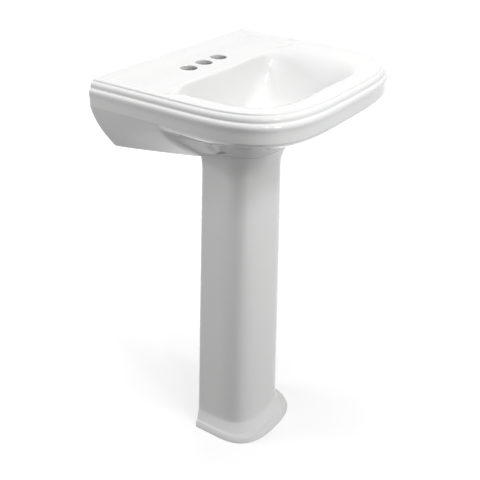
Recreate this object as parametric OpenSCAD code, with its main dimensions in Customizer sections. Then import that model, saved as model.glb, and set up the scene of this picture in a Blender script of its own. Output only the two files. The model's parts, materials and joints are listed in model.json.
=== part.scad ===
// Pedestal washbasin in white glazed china, with its waste, its fixings and its pedestal.
// Millimetres. X is to the right for someone facing the basin, the wall is the plane y = 0,
// the basin comes forward along -Y, and the floor is z = 0.
// The origin is the middle of the line where the wall meets the floor.

/* [Basin] */
// Height of the rim's top above the floor
rim_z = 864; // [780:1:920]
// Width between the deck's side edges, inside the rolled rim
deck_w = 498; // [440:1:600]
// Depth from the wall to the deck's front edge
deck_d = 407; // [380:1:480]
// Distance from the wall at which the straight sides turn into the bowed front
side_len = 172; // [150:1:200]
// Squareness of the bowed front's corners
front_squareness = 3.7; // [2.5:0.1:5]
// How far the upper roll stands out from the deck's edge
upper_roll_out = 7; // [4:0.5:10]
// How far the lower roll stands out from the deck's edge
lower_roll_out = 13; // [11:0.5:18]
// Height of the upper roll
upper_roll_h = 10; // [8:0.5:12]
// Height of the lower roll
lower_roll_h = 14; // [10:0.5:18]
// Height from the rim's top to the lower end of the upright apron
apron_h = 50; // [42:1:70]
// Thickness of the china
china_t = 11; // [8:0.5:13]
// Width of the flat border along the deck's edge
border_w = 13; // [8:0.5:18]
// Depth of the dished deck below the border
dish_h = 10; // [6:0.5:14]

/* [Bowl] */
// Width of the bowl's mouth where its edge starts to roll down
bowl_w = 456; // [390:1:462]
// Distance from the wall to the bowl's rear edge
bowl_rear = 115; // [108:1:125]
// Distance from the wall to the bowl's front edge
bowl_front = 388; // [365:1:390]
// Height from the deck down to the drain
bowl_depth = 128; // [115:1:132]
// Distance from the wall to the drain's centre
drain_y = 200; // [195:1:206]
// Radius of the tight roll at the bowl's rear edge
rear_edge_r = 15; // [8:1:20]
// Radius of the wide roll at the bowl's front and side edges
front_edge_r = 52; // [35:1:60]

/* [Taps] */
// Distance from one tap hole to the next
tap_pitch = 50.8; // [45:0.1:70]
// Diameter of each tap hole
tap_hole_d = 35; // [28:0.5:36]
// Distance from the wall to the tap holes' centres
tap_y = 74; // [62:1:80]
// Number of tap holes
tap_count = 3; // [1:1:5]

/* [Underside] */
// Width of the open rear box at its lower edge, by the wall
box_w = 394; // [340:1:430]
// Height from the rim down to the rear box's lower edge
box_drop = 150; // [142:0.5:153]
// Height of the short collar between the pedestal and the belly
collar_h = 18; // [12:0.5:24]
// Distance from the wall to the rear box's front at its lower edge
box_d = 176; // [165:1:190]
// How much each side of the rear box draws in from the wall to its front
box_draw_in = 60; // [40:1:75]
// Distance between the two wall studs
stud_pitch = 280; // [200:1:300]
// Height from the rim down to the wall studs
stud_drop = 78; // [64:1:94]
// Diameter of the wall studs
stud_d = 10; // [8:0.5:12]
// Length of stud that stands out behind the basin, to go into the wall
stud_out = 60; // [40:1:80]

/* [Pedestal] */
// Height of the basin, from its neck on the pedestal to its rim
basin_h = 156; // [152:0.5:170]
// Width of the pedestal's top
ped_top_w = 182; // [172:1:190]
// Width of the column just below the flared top
col_top_w = 161; // [150:1:168]
// Width of the column at the plinth
col_foot_w = 186; // [170:1:200]
// Distance from the wall to the column's open rear
ped_rear = 127; // [115:1:135]
// Distance from the wall to the column's front below the top
col_top_front = 247; // [243:1:252]
// Distance from the wall to the column's front at the plinth
col_foot_front = 261; // [254:1:272]
// Height of the flare at the pedestal's top
flare_h = 54; // [40:1:70]
// Width of the plinth on the floor
plinth_w = 228.6; // [208:0.2:250]
// Distance from the wall to the plinth's front
plinth_front = 291.7; // [278:0.1:305]
// Height of the plinth
plinth_h = 37; // [30:1:50]
// Height of the plinth's rolled lower tier
tier_h = 15; // [12:0.5:22]
// Distance between the two floor screw holes
floor_pitch = 132; // [120:1:150]
// Diameter of the floor screw holes
floor_hole_d = 8; // [6:0.5:10]

/* [Waste] */
// Diameter of the drain hole through the china
drain_hole_d = 45; // [42.5:0.5:47]
// Diameter of the waste's threaded body
waste_d = 41.9; // [38:0.1:42]
// Diameter of the waste's flange in the bowl
flange_d = 60; // [56:0.5:62]
// Thickness of the waste's flange
flange_t = 3; // [2:0.5:4]
// Length of the waste's body below the flange
waste_len = 92; // [82:1:100]
// Bore of the waste's body
waste_bore_d = 34; // [30:0.5:35]
// Diameter of the tailpiece
tail_d = 31.75; // [28:0.05:32]
// Length of the tailpiece that hangs below its nut
tail_len = 100; // [60:1:160]
// Diameter of the stopper's cap
cap_d = 56; // [50:0.5:58]
// How far the stopper sinks when it is pushed shut
stopper_travel = 8; // [5:0.5:8]

/* [Hidden] */

china = [0.96, 0.96, 0.95];
chrome = [0.8, 0.81, 0.83];
brass = [0.76, 0.66, 0.4];
steel = [0.62, 0.63, 0.65];
rubber = [0.12, 0.12, 0.12];
nylon = [0.9, 0.9, 0.86];

// Gap between pieces that rest on each other
seat_gap = 0.3;
// Running clearance round a sliding piece
slide_gap = 0.2;
// Cuts run this far past the faces they open
past = 1;
// Facets of true round parts
$fn = 64;

// Points round the basin's outer skin, its top surface, its inner skin and the pedestal
skin_n = 80;
top_n = 80;
inner_n = 48;
ped_n = 64;

deck_z = rim_z - dish_h;
apron_z = rim_z - apron_h;
neck_z = rim_z - basin_h;
ped_h = neck_z - seat_gap;
box_z = rim_z - box_drop;
stud_z = rim_z - stud_drop;
drain_z = deck_z - bowl_depth;

// Straight mix of two values
function mix(a, b, t) = a + (b - a) * t;

// Eased step from 0 to 1
function ease(t) = let (c = min(1, max(0, t))) c * c * (3 - 2 * c);

// Signed power, for the bowed outlines
function spow(v, e) = sign(v) * pow(abs(v), e);

// Outline with a square back and a bowed front, n points, anticlockwise from the right rear.
// hx is its half width, rear and front are distances from the wall, turn is where the sides
// start to bow, and sq is the squareness of the front corners.
function bowed(n, hx, rear, front, turn, sq, z) = let (
        back_n = floor(n / 8),
        side_n = floor(n / 8),
        front_n = n - back_n - 2 * side_n
    ) concat(
        [for (i = [0:back_n - 1]) [hx - 2 * hx * i / back_n, -rear, z]],
        [for (i = [0:side_n - 1]) [-hx, -mix(rear, turn, i / side_n), z]],
        [for (i = [0:front_n - 1]) let (a = 180 * i / front_n) [
            -hx * spow(cos(a), 2 / sq),
            -turn - (front - turn) * spow(sin(a), 2 / sq),
            z
        ]],
        [for (i = [0:side_n - 1]) [hx, -mix(turn, rear, i / side_n), z]]
    );

// Closed skin through rings that all have the same number of points, lowest ring first.
// Each end is closed by a fan from its own middle point.
module skin(rings, low, high) {
    m = len(rings);
    n = len(rings[0]);
    points = concat([for (r = rings) for (p = r) p], [low, high]);
    sides = [for (j = [0:m - 2]) for (i = [0:n - 1]) let (
            a = j * n + i,
            b = j * n + (i + 1) % n,
            c = a + n,
            d = b + n
        ) each [[a, d, b], [a, c, d]]];
    bottom = [for (i = [0:n - 1]) [m * n, i, (i + 1) % n]];
    top = [for (i = [0:n - 1]) [m * n + 1, (m - 1) * n + (i + 1) % n, (m - 1) * n + i]];
    polyhedron(points = points, faces = concat(sides, bottom, top));
}

// Basin: outer skin

// Steepness of the bowl's wall at its sides, front and rear, and of its floor
side_slope = 58;
front_slope = 66;
rear_slope = 78;
floor_slope = 4;
// Fall of the floor from the end of its curve to the drain's seat
floor_fall = 3;
// Run of the floor between its curve and the drain's seat
floor_run = 4;
// Room round the waste's flange
flange_room = 1;
// Half width and front of the basin's neck, which is the pedestal's top outline
neck_hx = ped_top_w / 2;
neck_front = col_top_front + (ped_top_w - col_top_w) * 0.86;
neck_turn = 179;
neck_squareness = 2.67;
// The apron hangs this far inside the lower roll
apron_in = 1.5;
apron_out = lower_roll_out - apron_in;
// The box's back keeps this far off the wall, so that the rim's back touches first
back_relief = 1;

// The belly starts at this height, above its collar
belly_z = neck_z + collar_h;

// Height of the belly, from 0 at the collar to 1 at the apron, for the way out s
function belly_rise(s) = 1 - pow(1 - pow(s, 0.86), 0.72);

// Ring of the rim at offset o from the deck's edge
function rim_ring(n, o, z) =
    bowed(n, deck_w / 2 + o, 0, deck_d + o, side_len, front_squareness, z);

// Ring of the belly at the way out s, drawn in by inset and raised by lift
function belly_ring(n, s, inset, lift) = bowed(
        n,
        mix(neck_hx, deck_w / 2 + apron_out, s) - inset,
        mix(ped_rear, 0, s) + inset,
        mix(neck_front, deck_d + apron_out, s) - inset,
        mix(neck_turn, side_len, s),
        mix(neck_squareness, front_squareness, s),
        mix(belly_z, apron_z, belly_rise(s)) + lift
    );

// Section of a roll: offset and height at angle a, from its groove's offset and its middle height
function roll(groove, out, mid, h, a) = [groove + (out - groove) * cos(a), mid + h / 2 * sin(a)];

groove_1 = 1;
groove_2 = upper_roll_out - 1;
edge_r = 3;
upper_mid = rim_z - edge_r - upper_roll_h / 2;
lower_mid = rim_z - edge_r - upper_roll_h - lower_roll_h / 2 + 1;
rim_section = concat(
    [[apron_out, apron_z], [apron_out, mix(apron_z, lower_mid, 0.7)]],
    [for (a = [-38, -14, 10, 34, 58, 82]) roll(groove_2, lower_roll_out, lower_mid, lower_roll_h, a)],
    [for (a = [-30, -4, 22, 48, 74]) roll(groove_1, upper_roll_out, upper_mid, upper_roll_h, a)],
    [for (a = [0, 45, 90]) [edge_r * (cos(a) - 1), rim_z + edge_r * (sin(a) - 1)]]
);

module basin_skin() {
    skin(
        concat(
            [belly_ring(skin_n, 0, 0, -collar_h)],
            [for (s = [0, 0.04, 0.12, 0.24, 0.38, 0.54, 0.7, 0.84, 0.94]) belly_ring(skin_n, s, 0, 0)],
            [for (p = rim_section) rim_ring(skin_n, p[0], p[1])]
        ),
        [0, -drain_y, neck_z],
        [0, -drain_y, rim_z]
    );
}

// Basin: rear box under the tap ledge

box_top_z = apron_z + 6;

// Half width of the box at height z and distance y from the wall
function box_hx(y, z) = let (
        v = (z - box_z) / (apron_z + 12 - box_z),
        at_wall = mix(box_w / 2, deck_w / 2 + lower_roll_out, 1 - pow(1 - v, 1.55)),
        drawn = box_draw_in * pow(y / box_d, 1.15) * (1 - v)
    ) min(at_wall - drawn, deck_w / 2 + apron_out - 0.5);

function box_ring(z_shape, z, inset, rear) = let (
        n = 8,
        front = box_d - inset,
        y_at = function (i) mix(rear, front, i / n)
    ) concat(
        [for (i = [0:n]) [-box_hx(y_at(i), z_shape) + inset, -y_at(i), z]],
        [for (i = [n:-1:0]) [box_hx(y_at(i), z_shape) - inset, -y_at(i), z]]
    );

module box_skin() {
    steps = 7;
    skin(
        [for (i = [0:steps]) let (z = mix(box_z, box_top_z, i / steps)) box_ring(z, z, 0, back_relief)],
        [0, -box_d / 2, box_z],
        [0, -box_d / 2, box_top_z]
    );
}

// Basin: top surface, from the rim's flat border over the dished tap ledge into the bowl

// Squareness of the bowl's mouth at its rear and front corners
mouth_rear_sq = 5;
mouth_front_sq = 4;
// Radius of the flat seat for the waste's flange
flat_r = flange_d / 2 + flange_room;
// Width of the slope from the border down to the ledge's floor
dish_slope = 22;
// The ledge's floor rises to the rim beside the bowl, over this distance from the bowl's rear edge
ledge_ramp = 66;

// Height of the ledge at x and the distance y from the wall
function ledge_z(x, y) = rim_z - dish_h
    * ease((y - border_w) / dish_slope)
    * ease((deck_w / 2 - border_w - abs(x)) / dish_slope)
    * (1 - ease((y - bowl_rear + 10) / ledge_ramp));

// Distance from the drain's axis to the bowl's mouth in the direction [dx, dy], a unit vector
function mouth_r(dx, dy) = let (
        sq = dy > 0 ? mouth_rear_sq : mouth_front_sq,
        half = dy > 0 ? drain_y - bowl_rear : bowl_front - drain_y
    ) pow(pow(abs(dx) / (bowl_w / 2), sq) + pow(abs(dy) / half, sq), -1 / sq);

// 1 along the bowl's rear edge and 0 at its sides and front, and the same for its front edge
function rearness(dy, r) = dy > 0
    ? ease((pow(r * dy / (drain_y - bowl_rear), mouth_rear_sq) - 0.15) / 0.6)
    : 0;
function frontness(dy, r) = dy < 0
    ? ease((pow(-r * dy / (bowl_front - drain_y), mouth_front_sq) - 0.1) / 0.8)
    : 0;

// Section of the bowl: edge roll, straight wall, floor curve and drain seat, over a run and a drop.
// Each entry is the distance inwards from the mouth, the drop and the slope there.
function bowl_section(rear, front, run, drop) = let (
        r1 = mix(front_edge_r, rear_edge_r, rear),
        f = floor_slope,
        fall = drop - floor_fall,
        reach = run - floor_run,
        steep = mix(mix(side_slope, front_slope, front), rear_slope, rear),
        t = min(steep, 2 * atan(fall / reach) - f),
        run1 = r1 * sin(t),
        drop1 = r1 * (1 - cos(t)),
        r2 = (reach - run1 - (fall - drop1) / tan(t)) / (sin(t) - sin(f) - (cos(f) - cos(t)) / tan(t)),
        drop2 = r2 * (cos(f) - cos(t)),
        wall = (fall - drop1 - drop2) / sin(t),
        x2 = run1 + wall * cos(t),
        z2 = drop1 + wall * sin(t)
    ) concat(
        [for (k = [0:4]) let (b = t * k / 4) [r1 * sin(b), r1 * (1 - cos(b)), b]],
        [for (k = [0:5]) let (b = mix(t, f, k / 5)) [
            x2 + r2 * (sin(t) - sin(b)),
            z2 + r2 * (cos(b) - cos(t)),
            b
        ]],
        [[run, drop, 0]]
    );

// One line of points of the bowl, from above its mouth down to the drain's seat, towards the
// point p on the border, grown outwards into the china by grow
function bowl_line(p, grow) = let (
        away = [p[0], p[1] + drain_y],
        d = away / norm(away),
        r = mouth_r(d[0], d[1]),
        top = ledge_z(r * d[0], drain_y - r * d[1]),
        sec = bowl_section(rearness(d[1], r), frontness(d[1], r), r - flat_r, top - drain_z)
    ) [for (s = sec) let (q = r - s[0] + grow * sin(s[2])) [
        d[0] * q,
        d[1] * q - drain_y,
        top - s[1] - grow * cos(s[2])
    ]];

// One line of points over the ledge, from the border's edge towards the bowl's mouth
function ledge_line(p, n) = let (
        away = [p[0], p[1] + drain_y],
        d = away / norm(away),
        m = mouth_r(d[0], d[1]) * d - [0, drain_y]
    ) [for (k = [1:n]) let (q = mix([p[0], p[1]], m, pow(k / (n + 1), 1.25)))
        [q[0], q[1], ledge_z(q[0], -q[1])]];

// Rings, lowest first, from lines that run from the top down
function rings_of(lines) = [for (j = [len(lines[0]) - 1:-1:0]) [for (l = lines) l[j]]];

module top_space() {
    soft = 0.3;
    border = rim_ring(top_n, -border_w - soft, rim_z - soft / 2);
    above = rim_ring(top_n, -border_w + soft, rim_z + past);
    lines = [for (i = [0:top_n - 1])
        concat([above[i], border[i]], ledge_line(border[i], 4), bowl_line(border[i], 0))];
    skin(rings_of(lines), [0, -drain_y, drain_z], [0, -drain_y, rim_z + past]);
}

// The bowl's own outer side: its space grown by the china's thickness
module bowl_block() {
    border = rim_ring(inner_n, -border_w, rim_z + past);
    lines = [for (i = [0:inner_n - 1])
        let (l = bowl_line(border[i], china_t)) concat([[l[0][0], l[0][1], rim_z + past]], l)];
    skin(rings_of(lines), [0, -drain_y, drain_z - china_t], [0, -drain_y, rim_z + past]);
}

// Basin: hollow between the bowl and the outer skin, open below the tap ledge

hollow_top_z = deck_z - china_t;
// The pad inside the neck comes up this far past the drain's seat
pad_past = 6;
boss_r = drain_hole_d / 2 + 12.5;
// Length of the outlet boss below the drain's seat
boss_len = 40;
boss_z = drain_z - boss_len;

module hollow_space() {
    steps = 5;
    first = 0.3;
    difference() {
        union() {
            skin(
                concat(
                    [for (i = [0:steps]) let (s = mix(first, 1, i / steps))
                        belly_ring(inner_n, s, china_t * mix(0.7, 1, s), china_t * mix(0.9, 0.3, s))],
                    [rim_ring(inner_n, apron_out - china_t, hollow_top_z)]
                ),
                [0, -drain_y, mix(belly_z, apron_z, belly_rise(first)) + china_t * 0.84],
                [0, -drain_y, hollow_top_z]
            );
            skin(
                concat(
                    [box_ring(box_z, box_z - past, china_t, back_relief + china_t)],
                    [for (i = [1:5]) let (z = mix(box_z, box_top_z, i / 5))
                        box_ring(z, z, china_t, back_relief + china_t)],
                    [box_ring(box_top_z, hollow_top_z - 0.5, china_t, back_relief + china_t)]
                ),
                [0, -box_d / 2, box_z - past],
                [0, -box_d / 2, hollow_top_z - 0.5]
            );
        }
        bowl_block();
        neck_pad();
        translate([0, -drain_y, boss_z])
            cylinder(r = boss_r, h = drain_z - boss_z);
    }
}

// Solid pad inside the neck, over the pedestal's top
module neck_pad() {
    translate([0, 0, neck_z - past])
        linear_extrude(drain_z + pad_past - neck_z + past)
            polygon([for (p = bowed(48, neck_hx - 0.5, ped_rear, neck_front - 0.5, neck_turn,
                neck_squareness, 0)) [p[0], p[1]]]);
}

// Hole in the rear box's back for a wall stud and its sleeve
sleeve_wall = 2.5;
stud_hole_d = stud_d + 2 * slide_gap + 2 * sleeve_wall + 2 * slide_gap;

module at_studs(y) {
    for (side = [-1, 1])
        translate([side * stud_pitch / 2, y, stud_z])
            rotate([90, 0, 0])
                children();
}

module basin() {
    color(china)
        difference() {
            union() {
                basin_skin();
                box_skin();
                translate([0, -drain_y, boss_z])
                    cylinder(r = boss_r, h = drain_z - boss_z - 2);
            }
            top_space();
            hollow_space();
            for (i = [0:tap_count - 1])
                translate([(i - (tap_count - 1) / 2) * tap_pitch, -tap_y, hollow_top_z - past])
                    cylinder(d = tap_hole_d, h = china_t + 2 * past);
            translate([0, -drain_y, boss_z - past])
                cylinder(d = drain_hole_d, h = drain_z - boss_z + 2 * past);
            at_studs(0)
                cylinder(d = stud_hole_d, h = back_relief + china_t + past);
        }
}

// Pedestal

plinth_rear = ped_rear + 7;
plinth_turn = 198;

// How far a ring lies from the column (0) towards the plinth's outline (1) at height z
function plinth_part(z) = z < tier_h
    ? 0.66 + 0.34 * pow(1 - pow(z / tier_h, 1.4), 0.7)
    : z < plinth_h
        ? 0.52 * pow(1 - (z - tier_h) / (plinth_h - tier_h), 1.1)
        : 0;

// How far a ring lies from the column (0) towards the flared top (1) at height z
function flare_part(z) = pow(max(0, z - (ped_h - flare_h)) / flare_h, 1.9);

function ped_ring(n, z, p, inset, open) = let (
        up = min(1, max(0, z - plinth_h) / (ped_h - flare_h - plinth_h)),
        w = mix(col_foot_w, col_top_w, up) / 2,
        f = mix(col_foot_front, col_top_front, up),
        top = flare_part(z)
    ) bowed(
        n,
        mix(mix(w, plinth_w / 2, p), neck_hx, top) - inset,
        open ? ped_rear - 40 : mix(ped_rear, plinth_rear, p),
        mix(mix(f, plinth_front, p), neck_front, top) - inset,
        mix(neck_turn, plinth_turn, p),
        neck_squareness,
        z
    );

module pedestal() {
    shaft_top = ped_h - flare_h;
    foot_z = [0, 1.5, tier_h * 0.35, tier_h * 0.65, tier_h * 0.85, tier_h * 0.97];
    upper_z = [for (k = [0.02, 0.3, 0.6, 0.85]) mix(tier_h, plinth_h, k)];
    flare_z = [for (k = [0.2, 0.4, 0.55, 0.7, 0.85, 1]) shaft_top + flare_h * k];
    lug_w = 46;
    lug_d = 34;
    lug_h = 15;
    lug_in = 12;
    color(china)
        difference() {
            union() {
                difference() {
                    skin(
                        concat(
                            [for (z = foot_z) ped_ring(ped_n, z, plinth_part(z), z == 0 ? 0.8 : 0, false)],
                            [for (z = upper_z) ped_ring(ped_n, z, plinth_part(z), 0, false)],
                            [for (z = [plinth_h, mix(plinth_h, shaft_top, 0.5), shaft_top])
                                ped_ring(ped_n, z, 0, 0, false)],
                            [for (z = flare_z) ped_ring(ped_n, z, 0, 0, false)]
                        ),
                        [0, -neck_turn, 0],
                        [0, -neck_turn, ped_h]
                    );
                    skin(
                        concat(
                            [for (z = [0, tier_h]) ped_ring(48, z - (z == 0 ? past : 0),
                                plinth_part(z) * 0.9, china_t, true)],
                            [for (z = [plinth_h + 8, shaft_top]) ped_ring(48, z, 0, china_t, true)],
                            [for (k = [0.35, 0.65, 1]) ped_ring(48, shaft_top + flare_h * k,
                                0, china_t, true)],
                            [ped_ring(48, ped_h + past, 0, china_t, true)]
                        ),
                        [0, -neck_turn, -past],
                        [0, -neck_turn, ped_h + past]
                    );
                }
                for (side = [-1, 1])
                    translate([
                        side * floor_pitch / 2 - (side < 0 ? lug_w - lug_in : lug_in),
                        -plinth_rear - lug_d - 1,
                        0
                    ])
                        cube([lug_w, lug_d, lug_h]);
            }
            for (side = [-1, 1])
                translate([side * floor_pitch / 2, -plinth_rear - lug_d / 2, -past])
                    cylinder(d = floor_hole_d, h = lug_h + 2 * past);
        }
}

// Waste: heights down its axis

seal_t = 1.5;
flange_z = drain_z + seal_t + seat_gap;
waste_end_z = flange_z - waste_len;
cap_z = flange_z + flange_t + 2 + seat_gap + stopper_travel;
gasket_t = 6;
washer_t = 2;
backnut_h = 11;
gasket_z = boss_z - seat_gap - gasket_t;
washer_z = gasket_z - washer_t;
backnut_z = washer_z - backnut_h;
thread_gap = 0.25;

module at_drain(z) {
    translate([0, -drain_y, z])
        children();
}

// Flat ring with inner and outer radii
module ring(ri, ro, h) {
    difference() {
        cylinder(r = ro, h = h);
        translate([0, 0, -past])
            cylinder(r = ri, h = h + 2 * past);
    }
}

// Cartridge that guides the stopper, measured from the hub that carries it
hub_h = 6;
hub_z = flange_z - 52;
cart_r = 9;
cart_wall = 2.4;
cart_floor = 3;
rod_r = 3.5;
piston_r = cart_r - cart_wall - slide_gap;
piston_h = 12;
spring_h = stopper_travel + 6;
cart_lip = 4;
cart_z = hub_z + hub_h;
spring_z = cart_z + cart_floor;
piston_z = spring_z + spring_h;
cart_h = cart_floor + spring_h + piston_h + slide_gap + cart_lip;
groove_w = 2.4;
groove_deep = 1.6;
wire_r = 0.8;
wire_z = piston_z + 2;

module waste_body() {
    spokes = 3;
    color(chrome)
        at_drain(0)
            difference() {
                union() {
                    rotate_extrude()
                        polygon([
                            [waste_bore_d / 2, waste_end_z],
                            [waste_d / 2, waste_end_z],
                            [waste_d / 2, flange_z],
                            [flange_d / 2, flange_z],
                            [flange_d / 2, flange_z + flange_t * 0.35],
                            [flange_d / 2 - 3, flange_z + flange_t],
                            [waste_bore_d / 2 + 1, flange_z + flange_t],
                            [waste_bore_d / 2, flange_z + flange_t - 1]
                        ]);
                    for (i = [0:spokes - 1])
                        rotate([0, 0, 90 + i * 360 / spokes])
                            translate([0, -1.5, hub_z])
                                cube([waste_bore_d / 2 + 1, 3, hub_h]);
                    translate([0, 0, hub_z])
                        cylinder(r = cart_r, h = hub_h);
                }
                translate([0, 0, hub_z - past])
                    cylinder(r = rod_r, h = hub_h + 2 * past);
            }
}

module waste_flange_seal() {
    color(rubber)
        at_drain(drain_z + seat_gap / 2)
            ring(waste_d / 2 + thread_gap, flange_d / 2 - 2, seal_t);
}

module cartridge_body() {
    color(brass)
        at_drain(cart_z)
            difference() {
                rotate_extrude()
                    polygon([
                        [0, 0],
                        [cart_r, 0],
                        [cart_r, cart_h - 1],
                        [cart_r - 1, cart_h],
                        [rod_r + slide_gap, cart_h],
                        [rod_r + slide_gap, cart_h - cart_lip],
                        [piston_r + slide_gap, cart_h - cart_lip],
                        [piston_r + slide_gap, cart_floor],
                        [0, cart_floor]
                    ]);
                translate([0, 0, wire_z - cart_z])
                    rotate([90, 0, 0])
                        cylinder(r = wire_r + slide_gap / 2, h = cart_r + past);
            }
}

module latch_wire() {
    color(steel)
        at_drain(wire_z)
            rotate([90, 0, 0])
                translate([0, 0, piston_r - groove_deep + slide_gap])
                    cylinder(r = wire_r, h = cart_r - piston_r + groove_deep);
}

module stopper_plunger() {
    rod_top = cap_z + 4;
    color(brass)
        at_drain(0)
            difference() {
                rotate_extrude()
                    polygon([
                        [0, piston_z],
                        [piston_r, piston_z],
                        [piston_r, piston_z + piston_h],
                        [rod_r, piston_z + piston_h],
                        [rod_r, rod_top],
                        [0, rod_top]
                    ]);
                translate([-groove_w / 2, -piston_r - past, piston_z + 2 - wire_r - slide_gap])
                    cube([groove_w, groove_deep + past, piston_h]);
            }
}

// Coil spring: a round wire swept along a helix, with n_turn steps a turn and six sides
module stopper_spring() {
    wire = 0.6;
    coil_r = piston_r - 1.4;
    turns = 5;
    n_turn = 14;
    total = turns * n_turn;
    low = spring_z + seat_gap + wire;
    high = piston_z - seat_gap - wire;
    rings = [for (i = [0:total]) let (a = 360 * i / n_turn, z = mix(low, high, i / total)) [
            for (k = [0:5]) let (b = -60 * k, r = coil_r + wire * cos(b)) [
                r * cos(a),
                r * sin(a),
                z + wire * sin(b)
            ]
        ]];
    color(steel)
        at_drain(0)
            skin(rings, [coil_r, 0, low], [coil_r, 0, high]);
}

module stopper_cap() {
    cap_t = 6;
    boss_h = 9;
    color(chrome)
        at_drain(cap_z)
            difference() {
                rotate_extrude()
                    polygon(concat(
                        [[0, -boss_h], [rod_r + 2.5, -boss_h], [rod_r + 2.5, 0], [cap_d / 2 - 1, 0],
                            [cap_d / 2, 1], [cap_d / 2, 2.5]],
                        [for (i = [0:6]) let (a = i * 15) [
                            (cap_d / 2 - 2) * sin(90 - a) + 1 * cos(a),
                            2.5 + (cap_t - 2.5) * sin(a)
                        ]]
                    ));
                translate([0, 0, -boss_h - past])
                    cylinder(r = rod_r + 0.05, h = boss_h + past + 4 + 0.2);
            }
}

module stopper_seal() {
    color(rubber)
        at_drain(cap_z - 2)
            ring(waste_bore_d / 2 + 1.5, waste_bore_d / 2 + 5.5, 2 - seat_gap / 2);
}

module waste_gasket() {
    color(rubber)
        at_drain(gasket_z + seat_gap / 2)
            ring(waste_d / 2 + thread_gap, boss_r - 2, gasket_t);
}

module waste_washer() {
    color(nylon)
        at_drain(washer_z)
            ring(waste_d / 2 + thread_gap, boss_r - 3, washer_t);
}

module waste_backnut() {
    color(brass)
        at_drain(backnut_z - seat_gap / 2)
            difference() {
                cylinder(r = boss_r - 3, h = backnut_h, $fn = 6);
                translate([0, 0, -past])
                    cylinder(r = waste_d / 2 + thread_gap, h = backnut_h + 2 * past);
            }
}

tail_wall = 1.2;
// The tube's swaged top stands out by this much, inside its nut
tail_swage = 0.4;
// Length of the swaged top below the nut
tail_swage_below = 2;
tail_seal_t = 2;
tail_flange_r = waste_d / 2 - 1;
tail_top_z = waste_end_z - 1.5 * seat_gap - tail_seal_t;
nut_up = 12;
nut_lip = 3;

module tailpiece() {
    swage_z = tail_top_z - tail_wall - nut_lip - tail_swage_below;
    color(chrome)
        at_drain(0)
            rotate_extrude()
                polygon([
                    [tail_d / 2 - tail_wall, tail_top_z],
                    [tail_flange_r, tail_top_z],
                    [tail_flange_r, tail_top_z - tail_wall],
                    [tail_d / 2 + tail_swage, tail_top_z - tail_wall],
                    [tail_d / 2 + tail_swage, swage_z],
                    [tail_d / 2, swage_z - tail_swage],
                    [tail_d / 2, tail_top_z - nut_lip - tail_len],
                    [tail_d / 2 - tail_wall, tail_top_z - nut_lip - tail_len]
                ]);
}

module tailpiece_seal() {
    color(rubber)
        at_drain(waste_end_z - seat_gap / 2 - tail_seal_t)
            ring(tail_d / 2 - tail_wall + 0.5, tail_flange_r, tail_seal_t);
}

module tailpiece_nut() {
    low = tail_top_z - tail_wall - seat_gap / 2 - nut_lip;
    outer = waste_d / 2 + 4.5;
    ribs = 12;
    color(chrome)
        at_drain(0)
            union() {
                rotate_extrude()
                    polygon([
                        [tail_d / 2 + tail_swage + thread_gap, low],
                        [outer - 1, low],
                        [outer, low + 1],
                        [outer, waste_end_z + nut_up],
                        [waste_d / 2 + thread_gap, waste_end_z + nut_up],
                        [waste_d / 2 + thread_gap, low + nut_lip],
                        [tail_d / 2 + tail_swage + thread_gap, low + nut_lip]
                    ]);
                for (i = [0:ribs - 1])
                    rotate([0, 0, i * 360 / ribs])
                        translate([outer - 0.5, -1.5, low + 1.5])
                            cube([1.8, 3, waste_end_z + nut_up - low - 3]);
            }
}

// Wall fixings

stud_in = 22;
wall_in = back_relief + china_t;
sleeve_flange_r = stud_hole_d / 2 + 3;
sleeve_flange_t = 1.5;
wall_washer_t = 2;
nut_h = 8;
// Where the stud's thicker end stops short of the wall's face
stud_step = 2;

// Hanger bolts: a plain end with a blunt point for the wall, and a slightly thinner end for the nut
module wall_studs() {
    thin_r = stud_d / 2 - 0.15;
    tip_h = 8;
    tip_r = 2;
    chamfer = 1;
    end = stud_out + wall_in + stud_in;
    color(steel)
        at_studs(stud_out)
            rotate_extrude()
                polygon([
                    [0, 0],
                    [tip_r, 0],
                    [stud_d / 2, tip_h],
                    [stud_d / 2, stud_out - stud_step],
                    [thin_r, stud_out - stud_step],
                    [thin_r, end - chamfer],
                    [thin_r - chamfer, end],
                    [0, end]
                ]);
}

module wall_sleeves() {
    color(nylon)
        at_studs(0)
            difference() {
                rotate_extrude()
                    polygon([
                        [stud_d / 2 + slide_gap, back_relief],
                        [stud_hole_d / 2 - slide_gap, back_relief],
                        [stud_hole_d / 2 - slide_gap, wall_in + seat_gap / 2],
                        [sleeve_flange_r, wall_in + seat_gap / 2],
                        [sleeve_flange_r, wall_in + seat_gap / 2 + sleeve_flange_t],
                        [stud_d / 2 + slide_gap, wall_in + seat_gap / 2 + sleeve_flange_t]
                    ]);
            }
}

module wall_washers() {
    color(steel)
        at_studs(-(wall_in + sleeve_flange_t + seat_gap))
            ring(stud_d / 2 + slide_gap, sleeve_flange_r + 1, wall_washer_t);
}

module wall_nuts() {
    color(steel)
        at_studs(-(wall_in + sleeve_flange_t + wall_washer_t + 1.5 * seat_gap))
            difference() {
                cylinder(r = stud_d * 0.95, h = nut_h, $fn = 6);
                translate([0, 0, -past])
                    cylinder(r = stud_d / 2 + slide_gap, h = nut_h + 2 * past);
            }
}

basin();

pedestal();
waste_body();
waste_flange_seal();
stopper_cap();
stopper_seal();
stopper_plunger();
stopper_spring();
cartridge_body();
latch_wire();
waste_gasket();
waste_washer();
waste_backnut();
tailpiece();
tailpiece_seal();
tailpiece_nut();
wall_studs();
wall_sleeves();
wall_washers();
wall_nuts();
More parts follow.
